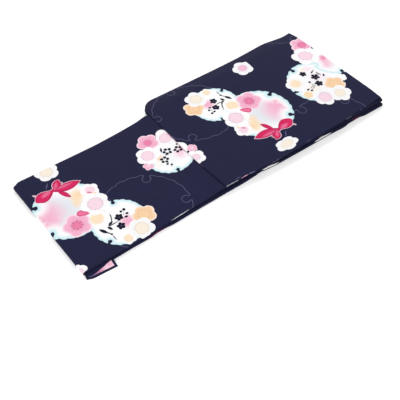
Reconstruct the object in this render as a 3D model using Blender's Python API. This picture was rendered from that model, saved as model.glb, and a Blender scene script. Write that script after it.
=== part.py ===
"""A women's cotton yukata, folded flat. The robe is closed and folded along its centre back, its two
sleeves are laid back over the body, and the whole is folded in half so that the hem lies beneath.
Metres, +Z up, resting on Z = 0. X runs from the half fold to the shoulders, Y from the side seams
to the centre back."""

from math import cos, pi, sin, sqrt

import bmesh
import bpy

# Sizes of the robe as it is sewn.
BACK_WIDTH = 0.295
SLEEVE_WIDTH = 0.332
SLEEVE_DROP = 0.478
SLEEVE_CORNER = 0.036
WRIST_OPENING = 0.230
ARMHOLE = 0.230
FOLD_LENGTH = 0.840
HEM_SETBACK = 0.001
COLLAR_WIDTH = 0.055
NECK_WIDTH = 0.095
NECK_DROP = 0.0003

# Cloth wall, and the gap kept between two pieces.
CLOTH = 0.0012
GAP = 0.0003
RESTING_GAP = 0.0005

# Thickness of each half of the folded body, outer and inner cloth included.
HALF_AT_FOLD = 0.0050
LOWER_AT_HEM = 0.0066
UPPER_IN_MIDDLE = 0.0070
UPPER_AT_SHOULDER = 0.0100

# The space between the halves: a loop at the half fold, and the room that the right sleeve takes up.
RESTING_SPACE = 0.0006
LOOP_SPACE = 0.0034
LOOP_LENGTH = 0.150
SLEEVE_HEIGHT = 0.0030

# How the cloth rolls at its folded edges, and how the soft stack settles.
SIDE_ROLL = 0.0020
BACK_ROLL = 0.0022
SHOULDER_ROLL = 0.0030
CROWN = 0.0012
CROWN_WIDTH = 0.045
LOWER_SETBACK = 0.0025

# How the sleeves lie.
SLEEVE_END = FOLD_LENGTH - 0.002
LEFT_SLEEVE_NEAR = 0.0010
RIGHT_SLEEVE_NEAR = 0.0035
LEFT_SLEEVE_DROOP = 0.0070
RIGHT_SLEEVE_DROOP = 0.0032

# The tip of the collar that slips out at the near end of the half fold.
TIP_LENGTH = 0.069
TIP_REACH = 0.0188
TIP_INSIDE = 0.014
TIP_CLOTH = 0.0016

# The footprint's middle is the origin.
MIDDLE_X = FOLD_LENGTH / 2
MIDDLE_Y = (RIGHT_SLEEVE_NEAR + SLEEVE_WIDTH - TIP_REACH) / 2

NAVY = (0.023, 0.022, 0.060, 1.0)


def ease(value, start, end):
    """0 before start, 1 after end, and a smooth rise between them."""
    share = min(1.0, max(0.0, (value - start) / (end - start)))
    return share * share * (3 - 2 * share)


def spaced(start, end, count):
    """count + 1 values from start to end."""
    return [start + (end - start) * i / count for i in range(count + 1)]


# ------------------------------------------------------------------ heights of the folded body


def lower_top(x):
    """The lower half lies on the ground; this is the height of its upper face."""
    return HALF_AT_FOLD + (LOWER_AT_HEM - HALF_AT_FOLD) * ease(x, 0.15, 0.65)


def upper_bottom(x):
    loop = LOOP_SPACE * (1 - ease(x, 0.0, LOOP_LENGTH))
    sleeve_start = SLEEVE_END - SLEEVE_DROP
    sleeve = (SLEEVE_HEIGHT + 2 * RESTING_GAP - RESTING_SPACE) * ease(x, sleeve_start - 0.036, sleeve_start - 0.006)
    return lower_top(x) + RESTING_SPACE + loop + sleeve


def upper_top(x, y):
    """The outer face of the upper half, lower towards its long edges and softly uneven."""
    half = HALF_AT_FOLD + (UPPER_IN_MIDDLE - HALF_AT_FOLD) * ease(x, 0.01, 0.14)
    half = half + (UPPER_AT_SHOULDER - UPPER_IN_MIDDLE) * ease(x, 0.25, 0.70)
    edges = 1 - ease(y, 0.0, CROWN_WIDTH) + ease(y, BACK_WIDTH - CROWN_WIDTH, BACK_WIDTH)
    uneven = 0.0006 * sin(9.0 * x + 5.0 * y + 0.6) + 0.0004 * sin(23.0 * x - 31.0 * y + 1.9)
    return upper_bottom(x) + half + (uneven * (1 - edges / 2) - CROWN * edges) * ease(x, 0.02, 0.16)


FOLD_MIDDLE = upper_top(0.0, 0.1) / 2
INNER_RADIUS = FOLD_MIDDLE - HALF_AT_FOLD
OUTER_RADIUS = FOLD_MIDDLE

# ------------------------------------------------------------------ places in the folded body
# A station says how far along the cloth a section lies: on the lower arm or the upper arm at some x,
# in the half fold at some angle, or over the shoulder at some angle or distance down.


# Every cloth has its sections at the same stations and crossings, so that the plies keep their gap.

ALONG = [0.02, 0.045, 0.08] + spaced(0.12, 0.325, 4) + [0.355] + spaced(0.40, 0.77, 7)
ACROSS = [0.018, 0.045, 0.10, BACK_WIDTH / 2]
ACROSS = ACROSS + [BACK_WIDTH - y for y in ACROSS[-2::-1]]


def arms(hem_x, shoulder_x):
    """The stations from the hem, round the half fold, and back to the shoulders."""
    lower = [("lower", hem_x)] + [("lower", x) for x in ALONG[::-1]]
    bend = [("bend", pi - pi * i / 8) for i in range(9)]
    upper = [("upper", x) for x in ALONG] + [("upper", shoulder_x)]
    return lower + bend + upper


def limits(station, y):
    """The inner and outer faces of a half, as distances from the middle of the fold."""
    kind, value = station
    if kind == "lower":
        return FOLD_MIDDLE - lower_top(value), FOLD_MIDDLE
    if kind == "upper":
        return upper_bottom(value) - FOLD_MIDDLE, upper_top(value, y) - FOLD_MIDDLE
    return INNER_RADIUS, OUTER_RADIUS


def set_back(station, y):
    """The long near edge wanders, most of all the lower half's, which lies a little further in."""
    kind, value = station
    if kind == "bend":
        return y
    if kind == "lower":
        shift = LOWER_SETBACK * ease(value, 0.08, 0.25) * (1 - ease(value, 0.52, 0.80))
    else:
        shift = 0.0007 * sin(17.0 * value) * ease(value, 0.0, 0.1) * (1 - ease(value, 0.70, 0.84))
    return y + shift * (1 - y / BACK_WIDTH)


def place(station, y, distance):
    """A point at some distance from the middle of the fold."""
    kind, value = station
    y = set_back(station, y)
    if kind == "lower":
        return (value, y, FOLD_MIDDLE - distance)
    if kind == "upper":
        return (value, y, FOLD_MIDDLE + distance)
    return (OUTER_RADIUS - distance * sin(value), y, FOLD_MIDDLE + distance * cos(value))


def over_shoulder(turn, y, depth, outer):
    """A point of the cloth that turns at the shoulders, depth below its outer face. turn is (angle, drop)."""
    angle, drop = turn
    start = FOLD_LENGTH - SHOULDER_ROLL
    x = start + (SHOULDER_ROLL - depth) * sin(angle)
    fall = SHOULDER_ROLL - (SHOULDER_ROLL - depth) * cos(angle) + drop
    if outer:
        return (x, y, upper_top(start, y) - fall)
    return (x, y, upper_bottom(start) + fall)


# ------------------------------------------------------------------ meshes


def make_object(name, rings, cap):
    """One closed body from rings of points, each joined to the next. cap lists the corners of the faces that
    fill both ends; with no cap the last ring is joined to the first."""
    bm = bmesh.new()
    rings = [[bm.verts.new((x - MIDDLE_X, y - MIDDLE_Y, z)) for x, y, z in ring] for ring in rings]
    count = len(rings[0])
    joined = list(zip(rings, rings[1:]))
    if not cap:
        joined.append((rings[-1], rings[0]))
    for first, second in joined:
        for i in range(count):
            j = (i + 1) % count
            bm.faces.new((first[i], first[j], second[j], second[i]))
    for ring in (rings[0], rings[-1]):
        for corners in cap:
            bm.faces.new([ring[i] for i in corners])
    bmesh.ops.recalc_face_normals(bm, faces=bm.faces)
    mesh = bpy.data.meshes.new(name)
    bm.to_mesh(mesh)
    bm.free()
    mesh.materials.append(cotton)
    robe.objects.link(bpy.data.objects.new(name, mesh))


for old in list(bpy.data.objects):
    bpy.data.objects.remove(old)
robe = bpy.data.collections.new("cotton_yukata_folded")
bpy.context.scene.collection.children.link(robe)
cotton = bpy.data.materials.new("printed_cotton")
cotton.use_nodes = True
shader = cotton.node_tree.nodes["Principled BSDF"]
shader.inputs["Base Color"].default_value = NAVY
shader.inputs["Roughness"].default_value = 0.85
shader.inputs["Metallic"].default_value = 0.0

# ------------------------------------------------------------------ the left and right body panels
# Each is one cloth that runs from the hem beneath, round the half fold, to the shoulders. Its side seam is
# a roll along the near edge, and along the far edge both panels turn towards each other and meet at the
# centre back seam.


def panel_section(depth):
    """(y, depth, share of the way to the centre back seam) across the cloth, at some depth in its wall."""
    side = SIDE_ROLL - depth
    back = BACK_ROLL - depth
    points = []
    for angle in spaced(0.0, pi / 2, 3):
        points.append((SIDE_ROLL - side * cos(angle), SIDE_ROLL - side * sin(angle), 0.0))
    for y in ACROSS:
        points.append((y, depth, 0.0))
    for angle in spaced(0.0, pi / 2, 3):
        points.append((BACK_WIDTH - BACK_ROLL + back * sin(angle), BACK_ROLL - back * cos(angle), 0.0))
    points.append((BACK_WIDTH - depth, BACK_ROLL, 1.0))
    return points


def panel(name, outer):
    """The left panel is the outer cloth of the fold, the right panel the inner one."""
    section = panel_section(0.0) + panel_section(CLOTH)[::-1]
    last = len(section) - 1
    cap = [(i, i + 1, last - i - 1, last - i) for i in range(last // 2)]
    rows = []
    for station in arms(FOLD_LENGTH - HEM_SETBACK, FOLD_LENGTH - SHOULDER_ROLL):
        row = []
        for y, depth, to_seam in section:
            inner_face, outer_face = limits(station, y)
            seam = (outer_face - inner_face - GAP) / 2 - BACK_ROLL
            if station[0] == "upper":
                seam = seam + (NECK_DROP - seam) * ease(station[1], FOLD_LENGTH - NECK_WIDTH, FOLD_LENGTH - 0.03)
            depth = depth + to_seam * seam
            distance = outer_face - depth if outer else inner_face + depth
            row.append(place(station, y, distance))
        rows.append(row)
    turns = [(angle, 0.0) for angle in spaced(0.0, pi / 2, 4)[1:]] + [(pi / 2, 1.0)]
    for angle, dropped in turns:
        row = []
        for y, depth, to_seam in section:
            inner_face, outer_face = limits(("upper", FOLD_LENGTH - SHOULDER_ROLL), y)
            to_middle = (outer_face - inner_face) / 2 - GAP - SHOULDER_ROLL
            neck = ease(y, BACK_WIDTH - NECK_WIDTH - 0.01, BACK_WIDTH - NECK_WIDTH + 0.01)
            drop = dropped * (to_middle + (NECK_DROP - to_middle) * neck)
            row.append(over_shoulder((angle, drop), y, depth + NECK_DROP * to_seam, outer))
        rows.append(row)
    make_object(name, rows, cap)


panel("body_left", True)
panel("body_right", False)

# ------------------------------------------------------------------ the plies between them
# The front panels, the overlaps and the collar bands that lie hidden share one solid. Its near edge shows
# the folds of three plies.


def lobes(count, steps):
    """(share of the height, share of the inset) down an edge of several rounded folds."""
    points = []
    for lobe in range(count):
        for step in range(steps):
            turn = 2 * (step + 0.5) / steps - 1
            points.append(((lobe + (turn + 1) / 2) / count, 1 - sqrt(1 - turn * turn)))
    return points


def hidden_layers():
    near = SIDE_ROLL + GAP
    far = BACK_WIDTH - BACK_ROLL - GAP
    inset = 0.0012
    rows = []
    stations = arms(FOLD_LENGTH - HEM_SETBACK - 0.003, FOLD_LENGTH - COLLAR_WIDTH - 0.009)
    for station in stations:
        section = [(y, 1.0) for y in ACROSS[::-1]]
        section += [(near + inset * share, 1 - height) for height, share in lobes(3, 4)]
        section += [(y, 0.0) for y in ACROSS]
        section += [(far - inset * share, height) for height, share in lobes(1, 4)]
        row = []
        at_shoulder = station == stations[-1]
        for y, height in section:
            if at_shoulder and y < BACK_WIDTH - NECK_WIDTH - 0.02:
                station = ("upper", FOLD_LENGTH - SHOULDER_ROLL - 0.0015)
            elif at_shoulder:
                station = stations[-1]
            inner_face, outer_face = limits(station, y)
            low = inner_face + CLOTH + GAP
            high = outer_face - CLOTH - GAP
            row.append(place(station, y, low + (high - low) * height))
        rows.append(row)
    flat = len(ACROSS)
    folds = len(lobes(3, 4))
    last = 2 * flat + folds - 1
    cap = [(i, i + 1, last - i - 1, last - i) for i in range(flat - 1)]
    cap += [tuple(range(flat - 1, flat + folds + 1))]
    cap += [(0,) + tuple(range(last, last + 5))]
    make_object("hidden_layers", rows, cap)


hidden_layers()

# ------------------------------------------------------------------ the collar
# The back of the collar is folded in at the neck, in a pocket between the plies. Its bands end in two folds
# at the shoulders.


def collar_neck():
    near = BACK_WIDTH - NECK_WIDTH
    far = BACK_WIDTH - BACK_ROLL - GAP
    front = FOLD_LENGTH - SHOULDER_ROLL + 0.0004
    back = front - COLLAR_WIDTH
    flats = (back, (back + front) / 2, front - 0.001)
    section = [(x, 1.0) for x in flats]
    section += [(front + 0.0010 * (1 - share), 1 - height) for height, share in lobes(2, 4)]
    section += [(x, 0.0) for x in flats[::-1]]
    rows = []
    for y in [near] + [y for y in ACROSS if y > near] + [far - 0.001]:
        row = []
        for x, height in section:
            low = upper_bottom(x) + CLOTH + 2 * GAP
            high = upper_top(x, y) - CLOTH - 2 * GAP
            row.append((x, set_back(("upper", x), y), low + (high - low) * height))
        rows.append(row)
    make_object("collar_neck", rows, [(0, 1, 12, 13), (1, 2, 11, 12), tuple(range(2, 12))])


def collar_tip():
    """Its lower end slips out of the half fold, slants away from the side seam and sinks to the ground."""
    rows = []
    for x in (0.010, 0.013, 0.018, 0.027, 0.040, 0.055, TIP_LENGTH):
        reach = TIP_REACH - 0.0045 * (1 - ease(x, 0.009, 0.022)) - 0.0058 * (1 - x / TIP_LENGTH)
        inside = lower_top(x) + GAP
        upper = []
        under = []
        shares = (0.10, 0.25, 0.45, 0.65, 0.82, 0.94, 1.0)
        for y in (TIP_INSIDE, 0.007, SIDE_ROLL) + tuple(-reach * share for share in shares):
            out = ease(-y, 0.0, 0.006)
            wall = TIP_CLOTH * (1 - 0.5 * ease(-y, 0.85 * reach, reach))
            low = inside * (1 - ease(-y, -0.001, 0.8 * reach))
            place_x = x - 0.008 * out * (1 - ease(x, 0.010, 0.040))
            under.append((place_x, y, low))
            upper.append((place_x, y, low + wall))
        rows.append(upper + under[::-1])
    last = len(rows[0]) - 1
    make_object("collar_tip", rows, [(i, i + 1, last - i - 1, last - i) for i in range(last // 2)])


collar_neck()
collar_tip()

# ------------------------------------------------------------------ the sleeves
# Each is a flat tube of one cloth, folded at the shoulder line and sewn along its bottom. Towards the body it
# is open below the armhole, and the wrist edge is sewn up to the wrist opening, with a rounded corner.


def flat_loop(start, end, height):
    """(x, height above the middle) round the tube, near the stations of the body beneath it."""
    radius = height / 2
    first = SLEEVE_END - SLEEVE_DROP
    shares = [0.0] + [(x - first) / SLEEVE_DROP for x in ALONG if x > first + 0.02] + [1.0]
    along = [start + radius + (end - start - height) * share for share in shares]
    points = [(x, radius) for x in along]
    for angle in spaced(pi / 2, -pi / 2, 4)[1:-1]:
        points.append((end - radius + radius * cos(angle), radius * sin(angle)))
    points += [(x, -radius) for x in along[::-1]]
    for angle in spaced(-pi / 2, pi / 2, 4)[1:-1]:
        points.append((start + radius - radius * cos(angle), radius * sin(angle)))
    return points


def sleeve(name, near, base, droop):
    """base(x, y) is the height of what the sleeve lies on."""
    start = SLEEVE_END - SLEEVE_DROP
    far = near + SLEEVE_WIDTH
    corner = far - SLEEVE_CORNER
    crossings = [(near, start), (near + 0.004, start)] + [(y, start) for y in ACROSS if y < corner - 0.01]
    for angle in spaced(0.0, pi / 2, 6):
        crossings.append((corner + SLEEVE_CORNER * sin(angle), start + SLEEVE_CORNER * (1 - cos(angle))))
    outer_rings = []
    inner_rings = []
    for number, (y, left) in enumerate(crossings):
        inner_left = left + 0.003
        inner_right = SLEEVE_END - CLOTH
        if number == 0:
            inner_right = SLEEVE_END - ARMHOLE
        if number > len(crossings) - 4:
            inner_left = SLEEVE_END - WRIST_OPENING
        hanging = droop * ease(y, BACK_WIDTH, far + 0.015) - SLEEVE_HEIGHT / 2 - RESTING_GAP
        for rings, loop in (
            (outer_rings, flat_loop(left, SLEEVE_END, SLEEVE_HEIGHT)),
            (inner_rings, flat_loop(inner_left, inner_right, SLEEVE_HEIGHT - 2 * CLOTH)),
        ):
            rings.append([(x, y, base(x, min(y, BACK_WIDTH)) + rise - hanging) for x, rise in loop])
    make_object(name, outer_rings + inner_rings[::-1], [])


sleeve("sleeve_left", LEFT_SLEEVE_NEAR, upper_top, LEFT_SLEEVE_DROOP)
sleeve("sleeve_right", RIGHT_SLEEVE_NEAR, lambda x, y: lower_top(x), RIGHT_SLEEVE_DROOP)
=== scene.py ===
from math import cos, exp, pi, radians, sin, sqrt

import bmesh
import bpy
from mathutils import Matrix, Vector


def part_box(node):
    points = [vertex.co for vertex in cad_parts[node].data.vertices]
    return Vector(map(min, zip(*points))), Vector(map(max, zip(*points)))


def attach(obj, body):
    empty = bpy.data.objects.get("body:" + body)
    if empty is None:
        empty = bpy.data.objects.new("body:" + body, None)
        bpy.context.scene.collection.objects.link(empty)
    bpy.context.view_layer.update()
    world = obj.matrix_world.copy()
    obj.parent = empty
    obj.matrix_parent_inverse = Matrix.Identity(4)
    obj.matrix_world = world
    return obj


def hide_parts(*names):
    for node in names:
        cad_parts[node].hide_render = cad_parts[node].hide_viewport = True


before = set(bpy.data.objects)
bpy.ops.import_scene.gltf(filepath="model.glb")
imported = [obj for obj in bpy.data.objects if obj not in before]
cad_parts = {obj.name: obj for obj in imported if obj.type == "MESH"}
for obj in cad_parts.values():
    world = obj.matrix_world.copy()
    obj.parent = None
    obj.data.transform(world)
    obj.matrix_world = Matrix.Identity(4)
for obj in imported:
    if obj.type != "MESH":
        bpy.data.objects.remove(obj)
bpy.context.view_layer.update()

# ----------------------------------------
# Left body panel. The outer cloth of the folded robe: one width of yukata cotton that runs from the hem
# beneath, round the half fold, to the shoulders. Its side seam rolls along the near edge, and its far edge
# turns down to the centre back seam.

BACK_WIDTH = 0.295
FOLD_LENGTH = 0.84
HEM_SETBACK = 0.001
CLOTH = 0.0012
GAP = 0.0003

# How thick each half of the fold is, and the pairs of x between which its height changes.
HALF_AT_FOLD = 0.005
LOWER_AT_HEM = 0.0066
LOWER_RISE = (0.15, 0.65)
UPPER_IN_MIDDLE = 0.007
UPPER_RISE = (0.01, 0.14)
UPPER_AT_SHOULDER = 0.01
SHOULDER_RISE = (0.25, 0.7)
RESTING_SPACE = 0.0006
LOOP_SPACE = 0.0034
LOOP_LENGTH = 0.15
SLEEVE_HEIGHT = 0.003
SLEEVE_DROP = 0.478
SLEEVE_SETBACK = 0.002
SLEEVE_END = FOLD_LENGTH - SLEEVE_SETBACK
SLEEVE_ROOM_STARTS = 0.036
SLEEVE_ROOM_IS_FULL = 0.006
RESTING_GAP = 0.0005

SIDE_ROLL = 0.002
BACK_ROLL = 0.0022
SHOULDER_ROLL = 0.003
CROWN = 0.0012
CROWN_WIDTH = 0.045
CROWN_RISE = (0.02, 0.16)
NECK_WIDTH = 0.095
NECK_DROP = 0.0003
NECK_CLOSED = 0.03
NECK_EASE = 0.01

# How finely the cloth is cut into faces: along it, across it, round the half fold and round an edge.
PITCH = 0.0075
STEPS_ACROSS = 38
STEPS_ROUND_FOLD = 14
STEPS_ROUND_EDGE = 6

# The near end of the half fold in the frame, from the box of the node that this cloth replaces.
low_corner, high_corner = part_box("body_left")
HALF_FOLD_X = low_corner[0]
SIDE_SEAM_Y = high_corner[1] - BACK_WIDTH


def ease(value, start, end):
    """0 before start, 1 after end, and a smooth rise between them."""
    share = min(1.0, max(0.0, (value - start) / (end - start)))
    return share * share * (3 - 2 * share)


def swell(value, spread):
    """1 at the middle, and a soft fall to both sides."""
    return exp(-((value / spread) ** 2))


def spaced(start, end, count):
    """The ends of count equal steps, and the start."""
    return [start + (end - start) * i / count for i in range(count + 1)]


def table(columns, rows):
    """Rows as dictionaries, under the names of their columns. A row may leave out its last ones."""
    return [dict(zip(columns.split(), row)) for row in rows]


def lower_top(x):
    """The upper face of the half that lies on the ground."""
    return HALF_AT_FOLD + (LOWER_AT_HEM - HALF_AT_FOLD) * ease(x, *LOWER_RISE)


def upper_bottom(x):
    """The underside of the upper half: a loop at the half fold, then room for the right sleeve."""
    loop = LOOP_SPACE * (1 - ease(x, 0.0, LOOP_LENGTH))
    sleeve_start = SLEEVE_END - SLEEVE_DROP
    room = SLEEVE_HEIGHT + 2 * RESTING_GAP - RESTING_SPACE
    room *= ease(x, sleeve_start - SLEEVE_ROOM_STARTS, sleeve_start - SLEEVE_ROOM_IS_FULL)
    return lower_top(x) + RESTING_SPACE + loop + room


# Two slow waves that leave the top softly uneven, as (high, along, across, start).
WAVES = [(0.0006, 9.0, 5.0, 0.6), (0.0004, 23.0, -31.0, 1.9)]


def upper_top(x, y):
    """The outer face of the upper half, lower towards its long edges."""
    half = HALF_AT_FOLD + (UPPER_IN_MIDDLE - HALF_AT_FOLD) * ease(x, *UPPER_RISE)
    half = half + (UPPER_AT_SHOULDER - UPPER_IN_MIDDLE) * ease(x, *SHOULDER_RISE)
    edges = 1 - ease(y, 0.0, CROWN_WIDTH) + ease(y, BACK_WIDTH - CROWN_WIDTH, BACK_WIDTH)
    uneven = sum(high * sin(along * x + across * y + start) for high, along, across, start in WAVES)
    return upper_bottom(x) + half + (uneven * (1 - edges / 2) - CROWN * edges) * ease(x, *CROWN_RISE)


FOLD_MIDDLE = upper_top(0.0, 0.1) / 2
INNER_RADIUS = FOLD_MIDDLE - HALF_AT_FOLD
OUTER_RADIUS = FOLD_MIDDLE

# Soft troughs and ridges that the folding has left, as (x, y, turn, run, wide, high).
BODY_CREASES = [
    (0.07, 0.15, 84, 0.12, 0.006, 0.0005), (0.165, 0.235, 62, 0.05, 0.008, -0.0007),
    (0.235, 0.075, 12, 0.07, 0.009, 0.0006), (0.29, 0.205, -24, 0.06, 0.007, -0.0006),
    (0.12, 0.06, -38, 0.045, 0.0075, 0.0005), (0.33, 0.11, 96, 0.085, 0.01, 0.001),
]


def creased(creases, x, y):
    """The height that the creases add at a place."""
    height = 0.0
    for middle_x, middle_y, turn, run, wide, high in creases:
        turned, leaning = cos(radians(turn)), sin(radians(turn))
        along = (x - middle_x) * turned + (y - middle_y) * leaning
        aside = (y - middle_y) * turned - (x - middle_x) * leaning
        height += high * swell(along, run) * swell(aside, wide)
    return height


# How far the fold's long edges have drifted, in millimetres: the near edge of each half, and the far edge.
MM = 0.001
BODY_EDGES = table("x upper lower far", [
    (0, 0, 0, -5), (14, 0, 0, 0.6), (60, 1, -0.8, -0.8), (120, 1.2, 0, -1),
    (166, 2.2, -0.8, -1.8), (176, 2.4, 1.6, -2), (206, 3, 1.4, -2.6),
    (216, 3.2, -0.6, -2.8), (280, 5, 0.2, -0.8), (350, 5.6, 0.2, 3.4), (410, 5.6, -0.6, 2),
    (450, 5.4, 0.8, 1.2), (460, 5.2, 3, 1), (475, 4.8, 0.2, 1), (505, 3, -2.8, 0.6),
    (596, -1.5, -4.8, 0), (665, -4, -5.4, 0), (716, -5, -8.2, 0), (726, -5, -5.2, 0),
    (768, -5.6, -5.2, 0), (776, -5.8, -8.8, 0), (840, -6, -10.2, 0),
])


def along_edge(edges, side, x):
    """The drift of an edge at x, between the rows of its table."""
    x /= MM
    for row, following in zip(edges, edges[1:]):
        if x <= following["x"]:
            break
    share = min(1.0, max(0.0, (x - row["x"]) / (following["x"] - row["x"])))
    return MM * (row[side] + (following[side] - row[side]) * share)


def drift(edges, side, x, reach=0.005):
    """The same, with the corners between the rows smoothed over a reach to both sides."""
    steps = spaced(-reach, reach, 6)
    return sum(along_edge(edges, side, x + step) for step in steps) / len(steps)


def settled(half, x, y):
    """Where a point of the flat fold ends up, as its long edges drift."""
    near = drift(BODY_EDGES, half, x)
    far = drift(BODY_EDGES, "far", x, reach=0.006)
    share = y / BACK_WIDTH
    return y + near * (1 - share) + far * ease(share, 0.5, 1.0)


def stations(hem_x, shoulder_x, pitch):
    """Where each section of the cloth lies: x on the lower half, the angle round the half fold, x on the
    upper half."""
    count = round((hem_x - OUTER_RADIUS) / pitch)
    lower = [("lower", x) for x in spaced(hem_x, OUTER_RADIUS, count)[:-1]]
    bend = [("bend", angle) for angle in spaced(pi, 0.0, STEPS_ROUND_FOLD)]
    count = round((shoulder_x - OUTER_RADIUS) / pitch)
    upper = [("upper", x) for x in spaced(OUTER_RADIUS, shoulder_x, count)[1:]]
    return lower + bend + upper


def limits(station, y):
    """The inner and outer faces of a half, as distances from the middle of the fold."""
    kind, value = station
    if kind == "lower":
        return FOLD_MIDDLE - lower_top(value), FOLD_MIDDLE
    if kind == "upper":
        return upper_bottom(value) - FOLD_MIDDLE, upper_top(value, y) - FOLD_MIDDLE
    return INNER_RADIUS, OUTER_RADIUS


def place(station, y, distance):
    """A point of the folded body, and how far along the printed cloth it lies."""
    kind, value = station
    if kind == "lower":
        point = (value, settled("lower", value, y), FOLD_MIDDLE - distance)
        return point, -value - OUTER_RADIUS * (pi - 2)
    if kind == "upper":
        return (value, settled("upper", value, y), FOLD_MIDDLE + distance), value
    x = OUTER_RADIUS - distance * sin(value)
    height = FOLD_MIDDLE + distance * cos(value)
    return (x, settled("upper", 0.0, y), height), OUTER_RADIUS * (1 - value)


def over_shoulder(angle, drop, y, depth, outer):
    """A point of the cloth that turns down at the shoulders, and its place on the cloth."""
    start = FOLD_LENGTH - SHOULDER_ROLL
    x = start + (SHOULDER_ROLL - depth) * sin(angle)
    fall = SHOULDER_ROLL - (SHOULDER_ROLL - depth) * cos(angle) + drop
    height = upper_top(start, y) - fall if outer else upper_bottom(start) + fall
    return (x, settled("upper", start, y), height), (start + SHOULDER_ROLL * angle + drop, y)


def dial(node, values):
    """Sets the inputs of a node by their names."""
    for name, value in values.items():
        node.inputs[name].default_value = value


def added(name, data):
    """An object of this data, in the scene."""
    thing = bpy.data.objects.new(name, data)
    bpy.context.scene.collection.objects.link(thing)
    return thing


def sew(name, rings, cap, materials, pick=None):
    """One closed piece from rings of (point, place on the cloth), each joined to the next. cap lists the
    corners that close both ends; with no cap the last ring is joined to the first. pick gives the number of
    a face's material from its middle on the fold and its normal."""
    bm = bmesh.new()
    printed = bm.verts.layers.float_vector.new("cloth_place")
    rows = []
    for ring in rings:
        row = []
        for (x, y, z), (along, across) in ring:
            vertex = bm.verts.new((x + HALF_FOLD_X, y + SIDE_SEAM_Y, z))
            vertex[printed] = (100 * along, 100 * across, 1.0)
            row.append(vertex)
        rows.append(row)
    count = len(rows[0])
    joined = list(zip(rows, rows[1:])) + ([] if cap else [(rows[-1], rows[0])])
    for first, second in joined:
        for i in range(count):
            j = (i + 1) % count
            bm.faces.new((first[i], first[j], second[j], second[i]))
    for row in (rows[0], rows[-1]):
        for corners in cap:
            bm.faces.new([row[i] for i in corners])
    bmesh.ops.recalc_face_normals(bm, faces=bm.faces)
    for face in bm.faces:
        face.smooth = True
        if pick:
            middle = face.calc_center_median()
            face.material_index = pick(middle.x - HALF_FOLD_X, middle.y - SIDE_SEAM_Y, middle.z, face.normal)
    mesh = bpy.data.meshes.new(name)
    bm.to_mesh(mesh)
    bm.free()
    for material in materials:
        mesh.materials.append(material)
    return added(name, mesh)


def end_faces(corners, count):
    """The first faces that close the end of a ring: each joins two corners to the two across from them."""
    last = corners - 1
    return [(i, i + 1, last - i - 1, last - i) for i in range(count)]


def panel_section(depth):
    """(y, depth, share of the way to the centre back seam) across the cloth, at some depth in its wall."""
    side = SIDE_ROLL - depth
    back = BACK_ROLL - depth
    points = []
    for angle in spaced(0.0, pi / 2, STEPS_ROUND_EDGE):
        points.append((SIDE_ROLL - side * cos(angle), SIDE_ROLL - side * sin(angle), 0.0))
    for y in spaced(SIDE_ROLL, BACK_WIDTH - BACK_ROLL, STEPS_ACROSS)[1:-1]:
        points.append((y, depth, 0.0))
    for angle in spaced(0.0, pi / 2, STEPS_ROUND_EDGE):
        points.append((BACK_WIDTH - BACK_ROLL + back * sin(angle), BACK_ROLL - back * cos(angle), 0.0))
    points.append((BACK_WIDTH - depth, BACK_ROLL, 1.0))
    return points


def body_panel(name, outer, materials, pick=None):
    """The left panel is the outer cloth of the fold, the right panel the inner one."""
    section = panel_section(0.0) + panel_section(CLOTH)[::-1]
    cap = end_faces(len(section), len(section) // 2 - 1)
    rings = []
    for station in stations(FOLD_LENGTH - HEM_SETBACK, FOLD_LENGTH - SHOULDER_ROLL, PITCH):
        ring = []
        for y, depth, to_seam in section:
            across = y - depth if y < BACK_WIDTH / 2 else y + depth
            inner_face, outer_face = limits(station, y)
            seam = (outer_face - inner_face - GAP) / 2 - BACK_ROLL
            if station[0] == "upper":
                closing = ease(station[1], FOLD_LENGTH - NECK_WIDTH, FOLD_LENGTH - NECK_CLOSED)
                seam += (NECK_DROP - seam) * closing
            depth += to_seam * seam
            distance = outer_face - depth if outer else inner_face + depth
            if outer and station[0] == "upper":
                distance += creased(BODY_CREASES, station[1], y)
            point, along = place(station, y, distance)
            ring.append((point, (along, across)))
        rings.append(ring)
    turns = [(angle, 0.0) for angle in spaced(0.0, pi / 2, STEPS_ROUND_EDGE)[1:]] + [(pi / 2, 1.0)]
    for angle, dropped in turns:
        ring = []
        for y, depth, to_seam in section:
            inner_face, outer_face = limits(("upper", FOLD_LENGTH - SHOULDER_ROLL), y)
            to_middle = (outer_face - inner_face) / 2 - GAP - SHOULDER_ROLL
            neck = BACK_WIDTH - NECK_WIDTH
            drop = to_middle + (NECK_DROP - to_middle) * ease(y, neck - NECK_EASE, neck + NECK_EASE)
            ring.append(over_shoulder(angle, dropped * drop, y, depth + NECK_DROP * to_seam, outer))
        rings.append(ring)
    return sew(name, rings, cap, materials, pick)


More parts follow.
